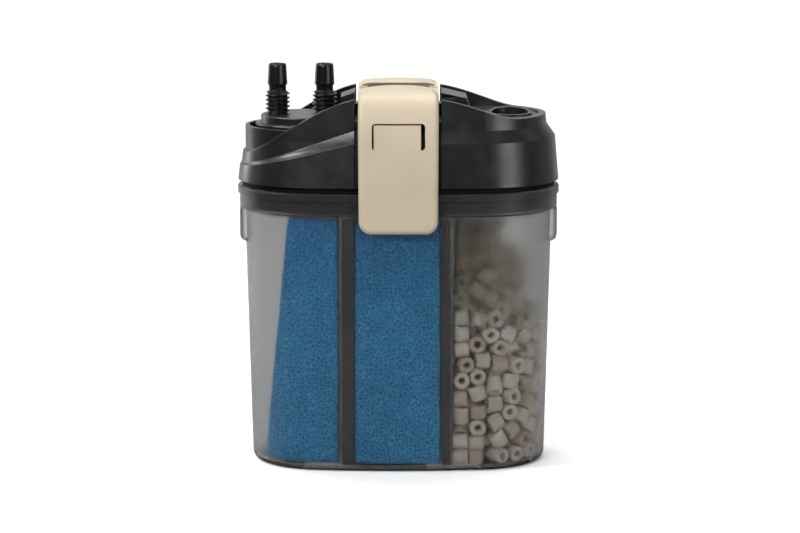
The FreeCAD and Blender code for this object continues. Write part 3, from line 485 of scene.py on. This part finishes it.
def build_nozzle(node, name):
    """Closed hose tail: outer skin with a real helical ridge, rolled lip and an open bore."""
    low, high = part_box(node)
    centre_x, tip = (low.x + high.x) / 2, high.z
    angles = [math.tau * i / NOZZLE_COLUMNS for i in range(NOZZLE_COLUMNS)]
    levels = sorted({round(v * MM, 7) for v in (*THREAD_LEVELS, *TIP_LEVELS)})
    rows = [[(nozzle_radius(z, angle), z) for angle in angles] for z in levels]
    rows += [[(radius, z)] * NOZZLE_COLUMNS for radius, z in LIP]
    vertices, faces = [], []
    for row in rows:
        for angle, (radius, z) in zip(angles, row):
            vertices.append((centre_x + radius * math.cos(angle), radius * math.sin(angle),
                             tip + z))
    for r in range(len(rows) - 1):
        for i in range(NOZZLE_COLUMNS):
            j = (i + 1) % NOZZLE_COLUMNS
            a, b = r * NOZZLE_COLUMNS, (r + 1) * NOZZLE_COLUMNS
            faces.append((a + i, a + j, b + j, b + i))
    last = (len(rows) - 1) * NOZZLE_COLUMNS
    faces.append(tuple(last + i for i in range(NOZZLE_COLUMNS)))
    faces.append(tuple(reversed(range(NOZZLE_COLUMNS))))
    return mesh_object(name, vertices, faces)


def hose_nozzles(gloss):
    for node in ("inlet_nozzle", "outlet_nozzle"):
        piece = paint(build_nozzle(node, node.replace("nozzle", "hose_tail")), gloss)
        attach(piece, "lid")
        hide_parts(node)


# ---- foam ---------------------------------------------------------------------------------------
def foam_piece(node, name, material):
    """Filter foam cut from the CAD solid: soft corners and a rough, open-celled skin."""
    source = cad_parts[node]
    piece = link(bpy.data.objects.new(name, source.data.copy()))
    remesh = piece.modifiers.new("remesh", "REMESH")
    remesh.mode = "VOXEL"
    remesh.voxel_size = FOAM_GRID
    smooth = piece.modifiers.new("smooth", "SMOOTH")
    smooth.iterations = 3
    apply_modifiers(piece)
    for vertex in piece.data.vertices:
        point = vertex.co
        rough = FOAM_ROUGH * noise.noise(point * FOAM_ROUGH_SCALE)
        swell = FOAM_SWELL * noise.noise(point * FOAM_SWELL_SCALE)
        vertex.co = point + vertex.normal * (rough + swell - FOAM_INSET)
    piece.data.shade_smooth()
    paint(piece, material)
    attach(piece, "tank")
    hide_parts(node)


# ---- ceramic rings ------------------------------------------------------------------------------
def ring_template():
    """One ring: a short tube with worn, rounded rims. Returns vertices and faces."""
    half = RING_LENGTH / 2
    edge = RING_EDGE
    profile = [(RING_RADIUS, -half + edge), (RING_RADIUS, half - edge), (RING_RADIUS - edge, half),
               (RING_BORE + edge, half), (RING_BORE, half - edge), (RING_BORE, -half + edge),
               (RING_BORE + edge, -half), (RING_RADIUS - edge, -half)]
    count = len(profile)
    vertices, faces = [], []
    for i in range(RING_COLUMNS):
        angle = math.tau * i / RING_COLUMNS
        for radius, z in profile:
            vertices.append((radius * math.cos(angle), radius * math.sin(angle), z))
    for i in range(RING_COLUMNS):
        j = (i + 1) % RING_COLUMNS
        for k in range(count):
            n = (k + 1) % count
            faces.append((i * count + k, j * count + k, j * count + n, i * count + n))
    return np.array(vertices), np.array(faces)


def chamber_outline(x0):
    """Plan of the ring chamber's rear half, from the divider round to the middle of the end."""
    half_length = CHAMBER_END - CHAMBER_WALL - CHAMBER_SLACK
    half_depth = CHAMBER_SIDE - CHAMBER_WALL - CHAMBER_SLACK
    end_radius = half_depth - CORNER_FLAT
    centre = half_length - end_radius
    points = [(x0, 0.0), (x0, half_depth - SIDE_DIP)]
    for i in range(ARC_STEPS + 1):
        angle = math.pi / 2 * (1 - i / ARC_STEPS)
        points.append((centre + end_radius * math.cos(angle), end_radius * math.sin(angle)))
    return points


def chamber_slabs(outline, floor):
    """Slabs that stand on the outline, and one under it: the middle, turn and size of each."""
    thick, height = SLAB_THICKNESS, SLAB_HEIGHT
    slabs = []
    for (ax, ay), (bx, by) in zip(outline, outline[1:] + outline[:1]):
        dx, dy = bx - ax, by - ay
        length = math.hypot(dx, dy)
        ux, uy = dx / length, dy / length
        centre = Vector(((ax + bx) / 2 - uy * thick / 2, (ay + by) / 2 + ux * thick / 2,
                         floor + height / 2))
        slabs.append((centre, math.atan2(uy, ux), Vector((length + 2 * thick, thick, height))))
    slabs.append((Vector((0.05, 0.02, floor - thick / 2)), 0.0, Vector((0.2, 0.2, thick))))
    return slabs


def drop_spots(x0):
    """Places in plan of the rings in the two layers, each with its layer's number."""
    spots = []
    for layer, (columns, rows) in enumerate(DROP_LAYERS):
        for row in range(rows):
            for column in range(columns):
                if row < 2 or column < 3:
                    x = x0 + DROP_START[0] + (column + layer / 2) * DROP_PITCH
                    y = DROP_START[1] + (row + layer / 2) * DROP_PITCH * DROP_SQUEEZE
                    spots.append((x, y, layer))
    return spots


def make_rigid(obj, kind, shape):
    """Adds an object to the simulation."""
    bpy.context.view_layer.objects.active = obj
    for other in bpy.context.selected_objects:
        other.select_set(False)
    obj.select_set(True)
    bpy.ops.rigidbody.object_add(type=kind)
    obj.rigid_body.collision_shape = shape
    obj.rigid_body.friction = SIM_FRICTION
    obj.rigid_body.restitution = SIM_RESTITUTION
    obj.rigid_body.use_margin = True
    obj.rigid_body.collision_margin = SIM_MARGIN


def settle_rings():
    """Drops the rings into half the chamber with rigid bodies and returns their places."""
    scene = bpy.context.scene
    x0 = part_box("divider_right")[1].x + DIVIDER_GAP
    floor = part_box("tank")[0].z + CHAMBER_FLOOR
    outline = chamber_outline(x0)
    bpy.ops.rigidbody.world_add()
    world = scene.rigidbody_world
    world.substeps_per_frame = SIM_SUBSTEPS
    world.solver_iterations = SIM_ITERATIONS
    world.point_cache.frame_start = 1
    world.point_cache.frame_end = SIM_FRAMES + 5
    walls = []
    for centre, turn, size in chamber_slabs(outline, floor):
        corners = [tuple(c * s * SIM_SCALE for c, s in zip(corner, size)) for corner in CUBE]
        wall = mesh_object("sim_wall", corners, CUBE_FACES, smooth=False)
        wall.location = centre * SIM_SCALE
        wall.rotation_euler = Euler((0, 0, turn))
        make_rigid(wall, "PASSIVE", "BOX")
        walls.append(wall)
    vertices, faces = ring_template()
    ring_mesh = bpy.data.meshes.new("sim_ring")
    ring_mesh.from_pydata([tuple(v * SIM_SCALE) for v in vertices], [],
                          [tuple(f) for f in faces.tolist()])
    rng = random.Random(DROP_SEED)
    spots = drop_spots(x0)
    rings = []
    for index in range(RING_COUNT):
        x, y, layer = spots[index % len(spots)]
        x += rng.uniform(-DROP_WOBBLE, DROP_WOBBLE)
        y += rng.uniform(-DROP_WOBBLE, DROP_WOBBLE)
        z = floor + DROP_START[2] + (2 * (index // len(spots)) + layer) * DROP_PITCH
        ring = link(bpy.data.objects.new("sim_ring", ring_mesh))
        ring.location = Vector((x, y, z)) * SIM_SCALE
        ring.rotation_euler = Euler([rng.uniform(0, math.tau) for _ in range(3)])
        make_rigid(ring, "ACTIVE", "CYLINDER")
        ring.rigid_body.mass = SIM_MASS
        ring.rigid_body.linear_damping = SIM_DAMPING
        ring.rigid_body.angular_damping = SIM_SPIN_DAMPING
        rings.append(ring)
    for step in range(1, SIM_FRAMES + 1):
        scene.frame_set(step)
    graph = bpy.context.evaluated_depsgraph_get()
    places = [ring.evaluated_get(graph).matrix_world.copy() for ring in rings]
    scene.frame_set(1)
    bpy.ops.rigidbody.world_remove()
    for obj in walls + rings:
        bpy.data.objects.remove(obj)
    result = []
    for matrix in places:
        centre = matrix.translation / SIM_SCALE
        lean = max(0.0, centre.z - HEAP_EDGE) * HEAP_LEAN
        inside = floor < centre.z < FILL_TOP and centre.y > -MIDDLE_SLACK
        if inside and wall_distance(outline, centre) > lean:
            spread = 1 + TAPER_SPREAD * centre.z / TAPER_HEIGHT
            centre.x = x0 + (centre.x - x0) * spread
            result.append((centre, matrix.to_quaternion().to_matrix()))
    return result


def wall_distance(outline, point):
    """Distance in plan from a point to the curved outer wall of the chamber."""
    nearest = math.inf
    for (ax, ay), (bx, by) in zip(outline[1:], outline[2:]):
        along = Vector((bx - ax, by - ay))
        offset = Vector((point.x - ax, point.y - ay))
        share = min(1.0, max(0.0, offset.dot(along) / along.length_squared))
        nearest = min(nearest, (offset - along * share).length)
    return nearest


def ceramic_pile(material):
    """All the rings as one mesh: the settled rear half, and the same half turned to the front."""
    places = settle_rings()
    template, faces = ring_template()
    rng = random.Random(PILE_SEED)
    flip = Matrix.Diagonal((1, -1, 1))
    vertices, all_faces, tones = [], [], []
    for centre, turn in places:
        for front in (False, True):
            matrix = np.array(flip @ turn if front else turn)
            middle = np.array(flip @ centre if front else centre)
            girth = 1 + rng.uniform(*GIRTH_RANGE)
            shape = np.array((girth, girth, 1 + rng.uniform(*LENGTH_RANGE)))
            points = (template * shape) @ matrix.T + middle
            order = faces[:, ::-1] if front else faces
            all_faces.append(order + len(tones))
            vertices.append(points)
            tones += [rng.random()] * len(points)
    piece = mesh_object("ceramic_pile", np.concatenate(vertices).tolist(),
                        np.concatenate(all_faces).tolist())
    attribute = piece.data.attributes.new("tone", "FLOAT", "POINT")
    attribute.data.foreach_set("value", np.array(tones, np.float32))
    paint(piece, material)
    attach(piece, "tank")
    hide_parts("ceramic_rings")


# ---- studio -------------------------------------------------------------------------------------
def area_light(name, place, target, width, height, power):
    data = bpy.data.lights.new(name, "AREA")
    data.shape = "RECTANGLE"
    data.size = width
    data.size_y = height
    data.energy = power
    lamp = link(bpy.data.objects.new(name, data))
    lamp.location = place
    lamp.rotation_euler = (Vector(target) - Vector(place)).to_track_quat("-Z", "Y").to_euler()


def sweep_paper():
    """White paper for the camera, darker for other rays, as if black cards stood out of view."""
    finish = Finish("pale_sweep", Roughness=0.9)
    finish.colour(finish.ramp(finish.noise(3.0), (0.3, (0.90, 0.90, 0.90)),
                              (0.7, (0.92, 0.92, 0.92))))
    tree = finish.tree
    depth = finish.span(finish.axis("Y"), 0.0, 1.0, *PAPER_Y)
    mirrored = finish.ramp(depth, (0.0, PAPER_NEAR), (1.0, PAPER_FAR))
    path = tree.nodes.new("ShaderNodeLightPath")
    bounce = finish.diffuse(PAPER_BOUNCE)
    glossy = finish.diffuse(PAPER_BOUNCE)
    tree.links.new(mirrored, glossy.node.inputs["Color"])
    surface = finish.choose(path.outputs["Is Glossy Ray"], bounce, glossy)
    surface = finish.choose(path.outputs["Is Transmission Ray"], surface,
                            finish.diffuse(PAPER_BEHIND))
    surface = finish.choose(path.outputs["Is Camera Ray"], surface, finish.shader.outputs["BSDF"])
    tree.links.new(surface, tree.nodes["Material Output"].inputs["Surface"])
    return finish.material


def studio():
    """Pale sweep that runs from the floor up behind the object, with soft lights round it."""
    section = [(SWEEP_FRONT, 0.0), (SWEEP_BACK, 0.0)]
    for i in range(1, SWEEP_STEPS + 1):
        angle = math.pi / 2 * i / SWEEP_STEPS
        section.append((SWEEP_BACK + SWEEP_BEND * math.sin(angle),
                        SWEEP_BEND * (1 - math.cos(angle))))
    section.append((SWEEP_BACK + SWEEP_BEND, SWEEP_TOP))
    vertices = [(x, y, z) for y, z in section for x in (-SWEEP_HALF_WIDTH, SWEEP_HALF_WIDTH)]
    faces = [(2 * i, 2 * i + 1, 2 * i + 3, 2 * i + 2) for i in range(len(section) - 1)]
    sweep = paint(mesh_object("sweep", vertices, faces), sweep_paper())
    lit_world()
    for light in LIGHTS:
        area_light(*light)


def lit_world():
    """Soft surroundings: bright behind the object and dim on the camera's side."""
    world = bpy.data.worlds.new("studio")
    bpy.context.scene.world = world
    world.use_nodes = True
    tree = world.node_tree
    place = tree.nodes.new("ShaderNodeTexCoord")
    split = tree.nodes.new("ShaderNodeSeparateXYZ")
    tree.links.new(place.outputs["Generated"], split.inputs["Vector"])
    fade = tree.nodes.new("ShaderNodeMapRange")
    fade.inputs["From Min"].default_value = GLOW_Y[0]
    fade.inputs["From Max"].default_value = GLOW_Y[1]
    fade.inputs["To Min"].default_value = FRONT_GLOW
    fade.inputs["To Max"].default_value = BACK_GLOW
    tree.links.new(split.outputs["Y"], fade.inputs["Value"])
    background = tree.nodes["Background"]
    background.inputs["Color"].default_value = (*WHITE, 1.0)
    tree.links.new(fade.outputs["Result"], background.inputs["Strength"])


def camera():
    data = bpy.data.cameras.new("camera")
    data.sensor_width = SENSOR_WIDTH
    data.lens = CAMERA_LENS
    data.clip_end = 50.0
    obj = link(bpy.data.objects.new("camera", data))
    offset = Vector((0, -math.cos(CAMERA_ELEVATION), math.sin(CAMERA_ELEVATION)))
    obj.location = CAMERA_TARGET + CAMERA_DISTANCE * offset
    obj.rotation_euler = (math.pi / 2 - CAMERA_ELEVATION, 0, 0)
    bpy.context.scene.camera = obj


camera()
studio()
materials = dress_cad_nodes()
hose_nozzles(materials["inlet_nozzle"])
foam_piece("sponge_coarse", "coarse_foam", materials["sponge_coarse"])
foam_piece("sponge_fine", "fine_foam", materials["sponge_fine"])
ceramic_pile(materials["ceramic_rings"])
bpy.context.scene.view_settings.view_transform = "Standard"
